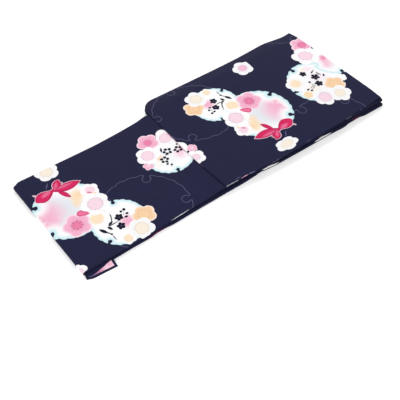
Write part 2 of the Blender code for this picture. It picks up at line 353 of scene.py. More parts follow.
class Shade:
    """A value, vector or colour in a cloth's material. Arithmetic on it adds the nodes."""

    def __init__(self, socket):
        self.socket = socket

    def make(self, kind, settings, inputs, output=0):
        tree = self.socket.id_data
        node = tree.nodes.new(kind)
        for name, value in settings.items():
            setattr(node, name, value)
        for key, value in inputs.items():
            if isinstance(value, Shade):
                tree.links.new(value.socket, node.inputs[key])
            else:
                node.inputs[key].default_value = value
        return Shade(node.outputs[output])

    def math(self, operation, *others):
        return self.make("ShaderNodeMath", {"operation": operation}, dict(enumerate((self,) + others)))

    def __add__(self, other):
        return self.math("ADD", other)

    def __sub__(self, other):
        return self.math("SUBTRACT", other)

    def __mul__(self, other):
        return self.math("MULTIPLY", other)

    def __rsub__(self, other):
        return self.make("ShaderNodeMath", {"operation": "SUBTRACT"}, {0: other, 1: self})

    __radd__ = __add__
    __rmul__ = __mul__

    def rise(self, start, end):
        """0 before start and 1 after end. Where start is the greater it falls instead."""
        edges = {"Value": self, "From Min": start, "From Max": end}
        return self.make("ShaderNodeMapRange", {"interpolation_type": "SMOOTHSTEP"}, edges)

    def mixed(self, first, second):
        """The first colour where this share is 0, and the second where it is 1."""
        return self.make("ShaderNodeMix", {"data_type": "RGBA"}, {0: self, 6: first, 7: second}, 2)

    def blend(self, start, end, first, second):
        """A colour that goes from the first to the second as this value goes from start to end."""
        return self.rise(start, end).mixed(first, second)

    def dyed(self, colour, share):
        """This colour with another laid over it."""
        return share.mixed(self, colour)

    def vector(self, operation, *others, output=0):
        inputs = dict(enumerate((self,) + others))
        return self.make("ShaderNodeVectorMath", {"operation": operation}, inputs, output)

    def spot(self, x, y, turn=0.0, long=1.0, wide=None):
        """How far this place on the cloth lies along and across a motif at x, y that is turned and sized.
        A place is (along the cloth, across it, 1) in centimetres, so that one product turns and moves it."""
        wide = wide or long
        turned, leaning = cos(radians(turn)), sin(radians(turn))
        along = (turned / long, leaning / long, -(x * turned + y * leaning) / long)
        across = (-leaning / wide, turned / wide, (x * leaning - y * turned) / wide)
        return self.vector("DOT_PRODUCT", along, output=1), self.vector("DOT_PRODUCT", across, output=1)

    def at(self, x, y, turn=0.0, long=1.0, wide=None):
        """The same, as a place."""
        along, across = self.spot(x, y, turn, long, wide)
        return self.make("ShaderNodeCombineXYZ", {}, {0: along, 1: across, 2: 1.0})

    def far(self, x=0.0, y=0.0):
        return self.vector("DISTANCE", (x, y, 1.0), output=1)

    def angle(self):
        along, across = self.spot(0.0, 0.0)
        return across.math("ARCTAN2", along)

    def fold(self, times):
        """An angle folded like cut paper: 0 along the middle of each petal, and most between two petals."""
        return self.math("PINGPONG", pi / times)

    def stamp(self, stencil, ground, x, y, turn=0.0, size=1.0, **dyes):
        """Prints a stencil over the ground, at a place on the cloth."""
        inputs = {"cloth": self.at(x, y, turn, size), "ground": ground, **dyes}
        return self.make("ShaderNodeGroup", {"node_tree": stencil}, inputs)


def stencil(**dyes):
    """Cuts the motif below it once, to be stamped wherever the print repeats it. A motif gives a colour from
    the cloth's place, the ground beneath and its dyes, whose usual values are given here."""

    def cut_from(motif):
        tree = bpy.data.node_groups.new(motif.__name__, "ShaderNodeTree")

        def socket(name, kind, way="INPUT"):
            return tree.interface.new_socket(name, in_out=way, socket_type="NodeSocket" + kind)

        socket("cloth", "Vector")
        socket("ground", "Color")
        for name, usual in dyes.items():
            socket(name, "Float" if isinstance(usual, float) else "Color").default_value = usual
        socket("printed", "Color", "OUTPUT")
        given = tree.nodes.new("NodeGroupInput")
        result = tree.nodes.new("NodeGroupOutput")
        shades = [Shade(given.outputs[name]) for name in ["cloth", "ground"] + list(dyes)]
        tree.links.new(motif(*shades).socket, result.inputs["printed"])
        return tree

    return cut_from


def dye(red, green, blue):
    """A colour as a dyer's chart gives it, from 0 to 255."""
    return tuple((value / 255) ** 2.2 for value in (red, green, blue)) + (1.0,)


INK = dye(20, 18, 42)
WHITE = dye(252, 251, 252)
SNOW = dye(244, 245, 248)
MIST = dye(224, 229, 236)
AQUA = dye(203, 235, 240)
PALE_PINK = dye(246, 207, 223)
PINK = dye(243, 176, 203)
ROSE = dye(234, 118, 160)
CRIMSON = dye(216, 36, 94)
MADDER = dye(168, 24, 74)
MAUVE = dye(168, 122, 160)
APRICOT = dye(246, 206, 164)
PEACH = dye(250, 220, 180)
CREAM = dye(247, 233, 212)
SAND = dye(206, 178, 150)
LILAC = dye(122, 120, 158)


def petals(far, fold, reach, round_by):
    """How deep a place lies inside a ring of round petals."""
    beside = far * fold.math("COSINE")
    return round_by - (far * far - 2 * reach * beside + reach * reach).math("SQRT")


@stencil(petal=SNOW, heart=PALE_PINK, line=MAUVE, reach=0.5, rays=0.0)
def plum(cloth, ground, petal, heart, line, reach, rays):
    """A plum blossom of radius 1: five round petals with a pale rim, and a heart of some reach. A dashed line
    runs round the heart, and rays is the strength of its stamens."""
    far = cloth.far()
    angle = cloth.angle()
    fold = angle.fold(5)
    depth = petals(far, fold, 0.5, 0.5).math("MAXIMUM", 0.5 - far)
    flower = petal.dyed(WHITE, depth.rise(0.2, 0.02) * 0.6)
    between = (pi / 5 - fold).rise(0.08, 0.0) * far.rise(0.44, 0.6)
    flower = flower.dyed(line, between * 0.22)
    flower = flower.dyed(heart, (far - reach).rise(0.3, -0.1) * 0.35)
    flower = flower.dyed(heart, (far - reach).rise(0.0, -0.05) * 0.75)
    dashes = angle.fold(15).rise(0.17, 0.1) * (far - reach).math("ABSOLUTE").rise(0.04, 0.012)
    flower = flower.dyed(line, dashes * 0.75)
    stamens = angle.fold(8).rise(0.16, 0.07) * (far - 0.26).math("ABSOLUTE").rise(0.18, 0.11)
    flower = flower.dyed(MADDER, stamens * rays)
    return ground.dyed(flower, depth.rise(-0.01, 0.014))


def blossoms(cloth, ground, rows):
    """Plum blossoms of several sizes and dyes, each laid over the one before it."""
    for row in table("x y turn size petal heart line reach rays", rows):
        ground = cloth.stamp(plum, ground, **row)
    return ground


LUMPS_TO_A_LOBE = 5
BITES_AT = 0.885


def snow_edge(cloth, bite_size):
    """How deep a place lies inside a snow ring of radius 1: five lumpy lobes and five round bites."""
    far = cloth.far()
    fold = cloth.angle().fold(5)
    lumpy = 0.972 + 0.024 * (fold * (2.5 * LUMPS_TO_A_LOBE)).math("COSINE").math("ABSOLUTE")
    beside = far * (pi / 5 - fold).math("COSINE")
    bite = (far * far - 2 * BITES_AT * beside + BITES_AT * BITES_AT).math("SQRT") - bite_size
    slot = ((far - BITES_AT) * -1).math("MAXIMUM", (pi / 5 - fold) - 0.7 * bite_size)
    return (lumpy - far).math("MINIMUM", bite).math("MINIMUM", slot)


@stencil(inside=SNOW)
def snow(cloth, ground, inside):
    """A white snow ring with a pale blue rim, over whatever is painted inside it."""
    depth = snow_edge(cloth, 0.07)
    ring = depth.blend(0.01, 0.17, AQUA, WHITE)
    ring = ring.dyed(inside, depth.rise(0.08, 0.4))
    return ground.dyed(ring, depth.rise(-0.005, 0.007))


@stencil()
def snow_line(cloth, ground):
    """The outline of a snow ring alone, in a thread-thin pale line."""
    return ground.dyed(LILAC, snow_edge(cloth, 0.095).math("ABSOLUTE").rise(0.0085, 0.003) * 0.55)


def wash(cloth, colour, clouds):
    """Soft clouds of dye brushed into a colour, each over the one before it."""
    for x, y, size, cloud, share in clouds:
        colour = colour.dyed(cloud, cloth.far(x, y).rise(size, 0.15 * size) * share)
    return colour


def leaf(cloth, x, y, long, wide, turn, blunt=0.0):
    """How deep a place lies inside a pointed leaf. blunt moves its widest part towards the tip."""
    along, across = cloth.spot(x, y, turn, long, wide)
    profile = 1 - along * along
    if blunt:
        profile = profile * (1 + along * blunt).math("MAXIMUM", 0.1)
    return (profile - across.math("ABSOLUTE")) * wide


def dot(cloth, x, y, size):
    return size - cloth.far(x, y)


def floret(cloth, x, y, turn, reach, size):
    """A little flower of five round petals."""
    spot = cloth.at(x, y, turn)
    return petals(spot.far(), spot.angle().fold(5), reach, size)


def cut(cloth, leaves=(), dots=(), florets=()):
    """How deep a place lies inside shapes cut as one: leaves of (x, y, long, wide, turn, blunt), dots of
    (x, y, size) and florets of (x, y, turn, reach, size), in centimetres."""
    depths = [leaf(cloth, *row) for row in leaves] + [dot(cloth, *row) for row in dots]
    depths += [floret(cloth, *row) for row in florets]
    together = depths[0]
    for depth in depths[1:]:
        together = together.math("MAXIMUM", depth)
    return together


@stencil()
def goldfish(cloth, ground):
    """A fantail goldfish seen from above, its waist at the middle: a round body, two tail lobes and a fin."""
    body = (-2.2, -0.45, 2.5, 1.42, 10, -0.45)
    tail = (3.15, -0.75, 3.1, 1.15, -4)
    fin = (1.3, 0.98, 1.75, 0.8, 44, 0.45)
    fin_root = (1.45, 0.5, 1.45, 0.5, 20)
    lower_lobe = (1.45, -2.2, 1.95, 0.55, -68, 0.2)
    waist = (0.25, 0.0, 1.2, 0.48, 0)
    fish = cut(cloth, [body, tail, fin, fin_root, lower_lobe, waist], [(-2.75, -0.6, 1.28)])
    spikes = cut(cloth, [(-3.9, 0.9, 0.65, 0.28, 125), (-2.35, -2.25, 0.45, 0.1, 70)])
    ground = ground.dyed(PALE_PINK, spikes.rise(-0.03, 0.06) * 0.8)
    ground = ground.dyed(PALE_PINK, fish.rise(-0.17, -0.11))
    red = fish.blend(0.0, 0.5, MADDER, CRIMSON)
    sheen = cut(cloth, [(-1.7, -0.1, 1.5, 0.75, 12), (2.6, -0.3, 2.2, 0.6, -4)])
    red = red.dyed(ROSE, sheen.rise(-0.15, 0.6) * 0.75)
    red = red.dyed(ROSE, leaf(cloth, 1.1, 0.8, 1.3, 0.5, 50).rise(-0.1, 0.3) * 0.6)
    ribs = cut(cloth, [(-1.9, -0.9, 1.5, 0.1, 16), (3.0, -0.7, 2.3, 0.1, -5)])
    red = red.dyed(MADDER, ribs.rise(-0.12, 0.06) * 0.4)
    return ground.dyed(red, fish.rise(-0.03, 0.04))


@stencil()
def branch(cloth, ground):
    """A dark sprig: two solid flowers, buds beside them, and leafy stems that trail below."""
    sprig = cut(
        cloth,
        leaves=[
            (1.3, -0.76, 0.5, 0.28, -15), (-1.25, 1.35, 0.8, 0.14, 77), (-1.6, 0.45, 0.75, 0.14, 52),
            (-2.4, -0.4, 0.85, 0.32, 28), (-3.1, -1.4, 0.75, 0.32, -65), (-1.85, -0.85, 1.45, 0.15, 4),
            (-4.65, -1.2, 1.1, 0.4, -62), (-3.95, -2.35, 0.8, 0.13, -62), (-3.68, -3.95, 1.0, 0.11, -88),
        ],
        dots=[
            (0.0, 0.0, 0.42), (-0.9, -2.2, 0.42), (1.2, 1.05, 0.32), (2.01, 1.17, 0.34), (1.95, -0.1, 0.32),
            (-3.67, -2.9, 0.28),
        ],
        florets=[(0.0, 0.0, 23, 0.58, 0.4), (-0.9, -2.2, 9, 0.58, 0.4)],
    )
    ground = ground.dyed(INK, sprig.rise(-0.04, 0.05))
    twigs = cut(cloth, [(1.35, 0.35, 0.65, 0.07, 55), (1.55, 0.15, 0.5, 0.07, 100)])
    ground = ground.dyed(INK, twigs.rise(-0.04, 0.04) * 0.6)
    hearts = cut(cloth, dots=[(0.0, 0.0, 0.12), (-0.9, -2.2, 0.12)])
    return ground.dyed(LILAC, hearts.rise(-0.04, 0.04))


@stencil()
def loose_flowers(cloth, ground):
    """Three dark flowers of five loose dots, with buds between them."""
    flowers = cut(
        cloth,
        leaves=[
            (-0.42, 2.3, 0.75, 0.26, 62), (-0.55, 0.25, 0.65, 0.06, 40), (-1.7, -2.1, 0.46, 0.27, 25),
            (-1.35, -3.25, 0.45, 0.07, 60),
        ],
        dots=[(-1.07, -2.85, 0.29), (3.43, 1.45, 0.29)],
        florets=[(0.44, 1.08, 17, 0.74, 0.39), (-1.5, -0.65, -11, 0.72, 0.38), (2.7, 0.0, 16, 0.72, 0.38)],
    )
    ground = ground.dyed(MAUVE, dot(cloth, 0.77, 6.15, 0.16).rise(-0.04, 0.04))
    return ground.dyed(INK, flowers.rise(-0.04, 0.05))


# The clouds of dye in each snow ring, as (x, y, size, dye, strength) in centimetres from the block's middle.
FISH_POOL = [
    (-3.0, 0.2, 4.4, PALE_PINK, 0.6), (-5.0, 1.2, 5.6, PINK, 0.8), (-5.6, -1.3, 4.0, PINK, 0.9),
    (3.7, 2.6, 3.0, PEACH, 0.95), (3.1, 1.1, 1.8, PEACH, 0.8), (2.4, -0.2, 1.6, PEACH, 0.8),
    (4.4, 1.9, 1.2, APRICOT, 0.5), (6.4, 1.3, 2.2, PALE_PINK, 0.9),
]
PLUM_POOL = [
    (-2.3, 0.6, 1.5, APRICOT, 0.8), (-4.3, -0.5, 2.0, PEACH, 0.7), (2.8, -1.3, 2.6, PALE_PINK, 1.0),
    (3.9, -0.5, 1.8, PINK, 0.55),
]
SPRIG_POOL = [
    (-1.5, 6.2, 2.4, PEACH, 0.65), (0.9, 6.2, 2.2, PALE_PINK, 0.8), (0.6, 2.0, 3.2, PALE_PINK, 0.35),
    (-3.0, -1.0, 3.0, CREAM, 0.5),
]
UPPER_POOL = [
    (5.4, 5.0, 3.6, PINK, 0.8), (6.9, 6.6, 1.6, ROSE, 0.8), (3.6, 6.1, 1.5, ROSE, 0.5),
]


@stencil()
def sprig_ring(cloth, ground):
    """An empty snow ring, and a white one with a dark sprig and three blossoms on its rim."""
    ground = cloth.stamp(snow_line, ground, 12.85, -11.0, 18.7, 10.3)
    clouds = cloth.far(8.2, -10.9).blend(2.4, 0.4, WHITE, PINK)
    ground = cloth.stamp(snow, ground, 6.8, -9.95, 35.8, 6.15, inside=clouds)
    ground = blossoms(cloth, ground, [
        (11.95, -11.6, 21, 2.7, APRICOT, APRICOT, SAND),
        (5.9, -14.7, 30, 1.6, WHITE, PEACH, SAND, 0.55),
        (9.5, -14.2, -33, 2.85, SNOW, CREAM, SAND),
    ])
    return cloth.stamp(branch, ground, 7.33, -8.9)


@stencil()
def fish_ring(cloth, ground):
    """A snow ring full of plum blossom, a goldfish over its rim, and a single blossom beyond."""
    pool = wash(cloth, cloth.far(-1.5, 0.0).blend(1.5, 8.0, MIST, WHITE), FISH_POOL)
    strokes = cut(cloth, [(-5.9, 0.8, 1.4, 0.45, -75), (-5.5, -2.1, 1.1, 0.5, -68)])
    pool = pool.dyed(ROSE, strokes.rise(-0.15, 0.15) * 0.8)
    ringed = cloth.stamp(snow, ground, -0.1, -0.6, 30.8, 7.95, inside=pool)
    overlap = cloth.far(0.85, 12.4).rise(6.57, 6.63)
    ground = ground.dyed(ringed, overlap)
    ground = blossoms(cloth, ground, [(6.55, 1.45, 20, 2.1, WHITE, PALE_PINK, PALE_PINK)])
    ground = ground.dyed(CRIMSON, leaf(cloth, 6.15, 0.95, 0.65, 0.2, -38).rise(-0.06, 0.08) * 0.8)
    ground = ground.dyed(PEACH, leaf(cloth, 7.0, 0.1, 0.5, 0.25, -40).rise(-0.06, 0.08))
    ground = blossoms(cloth, ground, [
        (3.45, -6.4, 8, 2.4, WHITE, PEACH, CREAM, 0.6),
        (5.4, -2.65, 20, 3.25, WHITE, PALE_PINK),
        (-0.75, -5.4, 18, 3.25, PINK, ROSE, MAUVE, 0.36, 0.45),
        (1.75, 11.85, 18, 2.75, SNOW, CREAM, SAND),
    ])
    bud = cut(cloth, [(2.0, -3.45, 1.35, 0.62, -38)], [(1.45, -3.05, 0.82)])
    ground = ground.dyed(bud.blend(0.0, 0.45, CRIMSON, ROSE), bud.rise(-0.04, 0.05))
    ground = ground.dyed(LILAC, leaf(cloth, -0.3, 8.1, 1.0, 0.11, 50).rise(-0.04, 0.04) * 0.6)
    return cloth.stamp(goldfish, ground, 0.1, 6.15)


@stencil()
def plum_block(cloth, ground):
    """A snow ring with plum blossoms crowding one side."""
    pool = wash(cloth, cloth.far().blend(1.0, 5.0, SNOW, WHITE), PLUM_POOL)
    ground = cloth.stamp(snow, ground, 0.45, 0.3, 3.4, 6.1, inside=pool)
    ground = blossoms(cloth, ground, [
        (-5.4, 0.1, 12, 1.35, PINK, PALE_PINK),
        (2.5, 4.65, 18, 2.9, WHITE, PALE_PINK, MAUVE, 0.46),
        (-1.5, 6.15, 28, 2.7, PINK, ROSE, MAUVE, 0.34, 0.12),
        (-3.85, 2.75, 48, 2.8, WHITE, PALE_PINK),
    ])
    return cloth.stamp(loose_flowers, ground, 0.0, 0.0)


@stencil()
def sprig_block(cloth, ground):
    """A snow ring overlapped by another, with loose flowers, a twig and blossoms of every dye."""
    pool = wash(cloth, cloth.far().blend(1.0, 6.0, SNOW, WHITE), SPRIG_POOL)
    ground = cloth.stamp(snow, ground, -0.85, 0.95, 70.8, 7.2, inside=pool)
    upper = wash(cloth, cloth.far(5.0, 3.0).blend(1.0, 6.0, SNOW, WHITE), UPPER_POOL)
    ground = cloth.stamp(snow, ground, 9.15, 5.55, 70, 6.75, inside=upper)
    ground = blossoms(cloth, ground, [
        (5.25, -1.75, 8, 1.3, WHITE, WHITE, WHITE),
        (2.25, -2.45, 19, 2.7, APRICOT, APRICOT, SAND),
        (0.85, -5.75, 51, 2.85, SNOW, CREAM, SAND, 0.42),
        (-3.05, -4.55, 44, 2.8, SNOW, PALE_PINK, MAUVE, 0.53),
        (-5.75, -1.55, 4, 1.3, PEACH, PEACH, SAND),
        (-5.45, 3.25, 20, 2.65, SNOW, PEACH, CREAM),
        (6.25, 13.95, 46, 3.15, PINK, ROSE, MAUVE, 0.36, 0.3),
        (3.85, 9.85, 15, 3.5, WHITE, PALE_PINK, MAUVE, 0.47),
    ])
    flowers = cut(
        cloth,
        leaves=[
            (0.71, 3.98, 0.7, 0.22, 27), (1.45, 4.35, 0.6, 0.06, 35), (1.61, 2.65, 0.9, 0.18, -84),
            (2.3, 1.45, 0.58, 0.26, 65), (-4.55, -0.22, 0.45, 0.32, 0), (-4.0, -0.95, 0.42, 0.28, 20),
            (-2.95, 0.0, 1.2, 0.09, 14), (-2.75, -0.45, 1.15, 0.09, 24), (-2.25, 0.55, 0.6, 0.08, -50),
        ],
        dots=[(-1.6, 4.65, 0.42), (0.11, 2.1, 0.5), (-0.8, -0.2, 0.46), (-2.38, 1.5, 0.34)],
        florets=[(-1.6, 4.65, 10, 0.58, 0.37), (0.11, 2.1, 25, 0.72, 0.42), (-0.8, -0.2, 0, 0.66, 0.4)],
    )
    return ground.dyed(INK, flowers.rise(-0.04, 0.05))


def edge_marks(cloth, ground, marks):
    """Slivers of print that wrap round a folded edge, each a thin leaf along it."""
    for x, y, long, wide, colour, share in marks:
        ground = ground.dyed(colour, leaf(cloth, x, y, long, wide, 0).rise(-0.01, 0.03) * share)
    return ground


# The weave and the run of the dye, in centimetres on the cloth.
THREAD_PITCH = 0.055
SLUB_LONG = 2.0
SLUB_WIDE = 0.11
BLEED = 0.15


def printed_cotton(cloth_name, motifs):
    """Plain-woven yukata cotton. motifs paints the print on the navy ground, from the place on the cloth."""
    material = bpy.data.materials.new(cloth_name)
    material.use_nodes = True
    tree = material.node_tree
    shader = tree.nodes["Principled BSDF"]
    dial(shader, {"Sheen Weight": 0.03, "Specular IOR Level": 0.22})
    attribute = tree.nodes.new("ShaderNodeAttribute")
    attribute.attribute_name = "cloth_place"
    cloth = Shade(attribute.outputs["Vector"])
    bleed = cloth.make("ShaderNodeTexNoise", {}, {"Vector": cloth, "Scale": 0.9, "Detail": 3.0}, 1)
    spread = bleed.vector("MULTIPLY_ADD", (2 * BLEED, 2 * BLEED, 0.0), (-BLEED, -BLEED, 0.0))
    dyed_place = cloth.vector("ADD", spread)
    slub = cloth.at(0, 0, 0, SLUB_LONG, SLUB_WIDE)
    slubs = slub.make("ShaderNodeTexNoise", {}, {"Vector": slub, "Scale": 1.0, "Detail": 3.0})
    ground = slubs.blend(0.2, 0.8, dye(26, 27, 57), dye(31, 32, 64))
    colour = motifs(dyed_place, ground)
    roughness = 0.78 + 0.12 * slubs
    along, across = cloth.spot(0.0, 0.0, 0.0, THREAD_PITCH / (2 * pi))
    weave = along.math("SINE") * across.math("SINE") + 0.8 * slubs
    bump = weave.make("ShaderNodeBump", {}, {"Height": weave, "Distance": 0.00008, "Strength": 0.6})
    for name, shade in (("Base Color", colour), ("Roughness", roughness), ("Normal", bump)):
        tree.links.new(shade.socket, shader.inputs[name])
    return material


def body_motifs_and_painted_shade(cloth, ground):
    """The fold's own block, and a blossom that stops at the near roll, leaving plain navy there as painted
    shade.
    """
    ground = cloth.stamp(sprig_ring, ground, 6.2, 16.5)
    ground = cloth.stamp(fish_ring, ground, 6.2, 16.5)
    ground = cloth.stamp(plum_block, ground, 32.4, 15.9)
    across = cloth.spot(0.0, 0.0)[1]
    blossom = blossoms(cloth, ground, [(-0.6, 0.8, 10, 2.0, WHITE, PALE_PINK)])
    # Below the near roll the blossom is left out and the plain navy ground kept: painted shade in the hollow
    # loop of the half fold.
    ground = ground.dyed(blossom, across.rise(0.12, 0.22))
    return edge_marks(cloth, ground, [(24.2, 0.0, 2.8, 0.09, SNOW, 0.9)])


body_print_with_painted_shade = printed_cotton("cotton_fish_and_plums", body_motifs_and_painted_shade)

# Petals where the plies fold at the near edge of the lower half, as (x, y, long, wide, dye, strength).
LOWER_MARKS = [
    (-49.7, 0.0, 2.5, 0.22, WHITE, 1.0), (-49.6, -0.44, 2.1, 0.8, WHITE, 1.0),
    (-44.0, -0.45, 2.7, 0.1, SNOW, 0.9), (-65.3, 0.0, 2.8, 0.22, WHITE, 1.0),
    (-65.05, -0.44, 2.35, 0.8, WHITE, 1.0), (-65.1, -0.4, 1.3, 0.12, PINK, 0.4),
    (-65.1, 0.05, 1.3, 0.12, PINK, 0.4), (-76.0, 0.0, 1.6, 0.14, MADDER, 0.35),
    (-18.5, -0.1, 3.0, 0.12, MADDER, 0.4),
]


def hidden_motifs(cloth, ground):
    """The print where the robe is turned away: the same blocks, repeated along and across the cloth."""
    repeat = cloth.vector("WRAP", (21.0, 30.0, 4.0), (-21.0, -4.0, 0.0))
    ground = repeat.stamp(sprig_block, ground, -8.0, 12.0)
    return repeat.stamp(plum_block, ground, 11.0, 15.0, 180)


def ply_motifs(cloth, ground):
    """The same, with the petals that show where the plies fold at the near edge."""
    return edge_marks(cloth, hidden_motifs(cloth, ground), LOWER_MARKS)


hidden_print = printed_cotton("cotton_plum_rings", hidden_motifs)
ply_print = printed_cotton("cotton_plum_rings_at_fold", ply_motifs)

BLOCK_STARTS = 0.02
BLOCK_ENDS = 0.42
UNDERSIDE = 0.004


def left_panel_print(x, y, z, normal):
    """The fold's block on top and round the half fold; the repeat beyond it and beneath."""
    return 1 if z < UNDERSIDE and x > BLOCK_STARTS or x > BLOCK_ENDS else 0


body_left = body_panel("body_left_cloth", True, [body_print_with_painted_shade, hidden_print], left_panel_print)
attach(body_left, "root")
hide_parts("body_left")

# ----------------------------------------
# Right body panel. The same width of cotton on the other side of the centre back seam: the inner cloth of
# each half. Its side seam shows as a second roll along the near edge.

body_right = body_panel("body_right_cloth", False, [ply_print])
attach(body_right, "root")
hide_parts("body_right")

# ----------------------------------------
# The plies between the two panels: the fronts, the overlaps and the collar bands, folded in. All that shows
# of them is the folds of three plies along the near edge, each slipped a little in or out.

PLY_INSET = 0.0012
PLY_SLIPS = [(0.0009, 21.0, 0.4), (0.0014, 13.0, 2.1), (0.0007, 17.0, 4.0)]
PLY_HEM = 0.003
PLY_PITCH = 0.009
PLY_MARGIN = 0.012
STEPS_ACROSS_PLY = 24
STEPS_DOWN_PLY = 8
COLLAR_WIDTH = 0.055
PLIES_END = 0.0015
NECK_MARGIN = 0.02
PRINT_ROUND_PLY = 0.0015
PRINT_DOWN_EDGE = 0.0006


def ply_folds(plies):
    """(share of the height, share of the inset, number of the ply) down an edge of several rounded folds."""
    points = []
    for ply in range(plies):
        for step in range(STEPS_DOWN_PLY):
            turn = 2 * (step + 0.5) / STEPS_DOWN_PLY - 1
            points.append(((ply + (turn + 1) / 2) / plies, 1 - sqrt(1 - turn * turn), ply))
    return points


def plies_between():
    """Three folds at the near edge, one at the far edge. At the neck the plies stop short of the collar;
    elsewhere their last section reaches the shoulders."""
    near = SIDE_ROLL + GAP
    far = BACK_WIDTH - BACK_ROLL - GAP
    across = spaced(PLY_MARGIN, BACK_WIDTH - PLY_MARGIN, STEPS_ACROSS_PLY)
    rings = []
    ways = stations(FOLD_LENGTH - HEM_SETBACK - PLY_HEM, FOLD_LENGTH - COLLAR_WIDTH - PLY_PITCH, PLY_PITCH)
    for station in ways:
        section = [(y, 1.0, y) for y in across[::-1]]
        for height, inset, ply in ply_folds(len(PLY_SLIPS)):
            slip, waves, start = PLY_SLIPS[ply]
            slide = slip * (1 + sin(waves * station[1] + start))
            printed = -PRINT_ROUND_PLY * (ply + 1) - PRINT_DOWN_EDGE * height
            section.append((near + PLY_INSET * inset + slide, 1 - height, printed))
        section += [(y, 0.0, y) for y in across]
        section += [(far - PLY_INSET * inset, height, BACK_WIDTH) for height, inset, ply in ply_folds(1)]
        ring = []
        for y, height, printed in section:
            level = station
            if station == ways[-1] and y < BACK_WIDTH - NECK_WIDTH - NECK_MARGIN:
                level = ("upper", FOLD_LENGTH - SHOULDER_ROLL - PLIES_END)
            inner_face, outer_face = limits(level, y)
            low = inner_face + CLOTH + GAP
            high = outer_face - CLOTH - GAP
            point, along = place(level, y, low + (high - low) * height)
            ring.append((point, (along, printed)))
        rings.append(ring)
    flat = len(across)
    folds = len(PLY_SLIPS) * STEPS_DOWN_PLY
    far_fold = 2 * flat + folds
    cap = end_faces(far_fold, flat - 1)
    cap += [tuple(range(flat - 1, flat + folds + 1))]
    cap += [(0,) + tuple(range(far_fold - 1, far_fold + STEPS_DOWN_PLY))]
    return sew("hidden_layers_cloth", rings, cap, [ply_print])


hidden_layers = plies_between()
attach(hidden_layers, "root")
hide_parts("hidden_layers")

# ----------------------------------------
# The collar. Its back is folded in at the neck between the plies, where two folds of its band show at the
# shoulders. Its lower end slips out of the half fold at the near corner, and shows a hemmed end.

BAND_FOLD = 0.001
BAND_REACH = 0.0004
BAND_PRINT = 0.9
STEPS_ALONG_NECK = 12


def collar_neck():
    """Two folds of the band at the shoulders, and its flat width behind them."""
    near = BACK_WIDTH - NECK_WIDTH
    far = BACK_WIDTH - BACK_ROLL - GAP
    front = FOLD_LENGTH - SHOULDER_ROLL + BAND_REACH
    flats = spaced(front - COLLAR_WIDTH, front - BAND_FOLD, 6)
    section = [(x, 1.0) for x in flats]
    section += [(front + BAND_FOLD * (1 - inset), 1 - height) for height, inset, ply in ply_folds(2)]
    section += [(x, 0.0) for x in flats[::-1]]
    rings = []
    for y in spaced(near, far - BAND_FOLD, STEPS_ALONG_NECK):
        ring = []
        for x, height in section:
            low = upper_bottom(x) + CLOTH + 2 * GAP
            high = upper_top(x, y) - CLOTH - 2 * GAP
            point = (x, settled("upper", x, y), low + (high - low) * height)
            ring.append((point, (BAND_PRINT + x + 0.01 * height, y)))
        rings.append(ring)
    flat = len(flats)
    cap = end_faces(len(section), flat - 1)
    cap += [tuple(range(flat - 1, len(section) - flat + 1))]
    return sew("collar_neck_band", rings, cap, [hidden_print])


collar_back = collar_neck()
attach(collar_back, "root")
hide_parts("collar_neck")

TIP_LENGTH = 0.069
TIP_REACH = 0.0188
TIP_ROOT_NARROWS = 0.0045
TIP_TAPER = 0.0058
TIP_INSIDE = 0.014
TIP_CLOTH = 0.0016
TIP_LEAVES_EDGE = 0.0025
TIP_LEAN = 0.008
TIP_ROOT = (0.009, 0.022)
TIP_LEANS = (0.01, 0.04)
TIP_SECTIONS = (0.01, 0.012, 0.015, 0.019, 0.024, 0.03, 0.037, 0.044, 0.051, 0.058, 0.064, 0.067, 0.069)
TIP_SHARES = (0.05, 0.12, 0.2, 0.3, 0.4, 0.5, 0.6, 0.7, 0.8, 0.88, 0.94, 0.98, 1.0)


def tip_motifs_and_painted_light(cloth, ground):
    """Pink blossom inside a plain navy hem, that narrows towards the half fold. The pink darkens to navy
    towards the fold as painted shade; a lilac streak is a painted highlight.
    """
    along, across = cloth.spot(0.0, 0.0)
    inside = across.rise(0.46, 0.54) * along.rise(6.38, 6.3) * (across - 0.26 * along).rise(0.08, -0.02)
    pink = cloth.far(5.6, 1.3).rise(0.9, 0.2).math("MAXIMUM", cloth.far(3.6, 0.9).rise(0.9, 0.2))
    # A pale lilac streak along the rolled edge near the fold: a painted highlight.
    ground = ground.dyed(LILAC, leaf(cloth, 2.1, 0.55, 0.9, 0.07, 3).rise(-0.02, 0.05) * 0.8)
    # The pink darkens from pale pink to mauve towards the half fold: painted shade.
    petal = along.blend(2.6, 4.9, MAUVE, PALE_PINK).dyed(ROSE, pink * 0.35)
    # Nearer the half fold the pink fades out to the navy ground: painted shade.
    return ground.dyed(petal, inside * along.rise(1.7, 2.7))


tip_print_with_painted_light = printed_cotton("cotton_collar_end", tip_motifs_and_painted_light)


def collar_tip():
    """It slants away from the near edge, sinks to the ground and thins to its rim."""
    rings = []
    for x in TIP_SECTIONS:
        reach = TIP_REACH - TIP_ROOT_NARROWS * (1 - ease(x, *TIP_ROOT)) - TIP_TAPER * (1 - x / TIP_LENGTH)
        inside = lower_top(x) + GAP
        upper = []
        under = []
        for y in (TIP_INSIDE, 0.01, 0.006, SIDE_ROLL) + tuple(-reach * share for share in TIP_SHARES):
            out = ease(-y, 0.0, TIP_LEAVES_EDGE)
            wall = TIP_CLOTH * (1 - 0.5 * ease(-y, 0.85 * reach, reach))
            low = inside * (1 - ease(-y, -0.001, 0.8 * reach))
            end_x = x - TIP_LEAN * out * (1 - ease(x, *TIP_LEANS))
            under.append(((end_x, y, low), (x, y + reach)))
            upper.append(((end_x, y, low + wall), (x, y + reach)))
        rings.append(upper + under[::-1])
    corners = len(rings[0])
    return sew("collar_end", rings, end_faces(corners, corners // 2 - 1), [tip_print_with_painted_light])


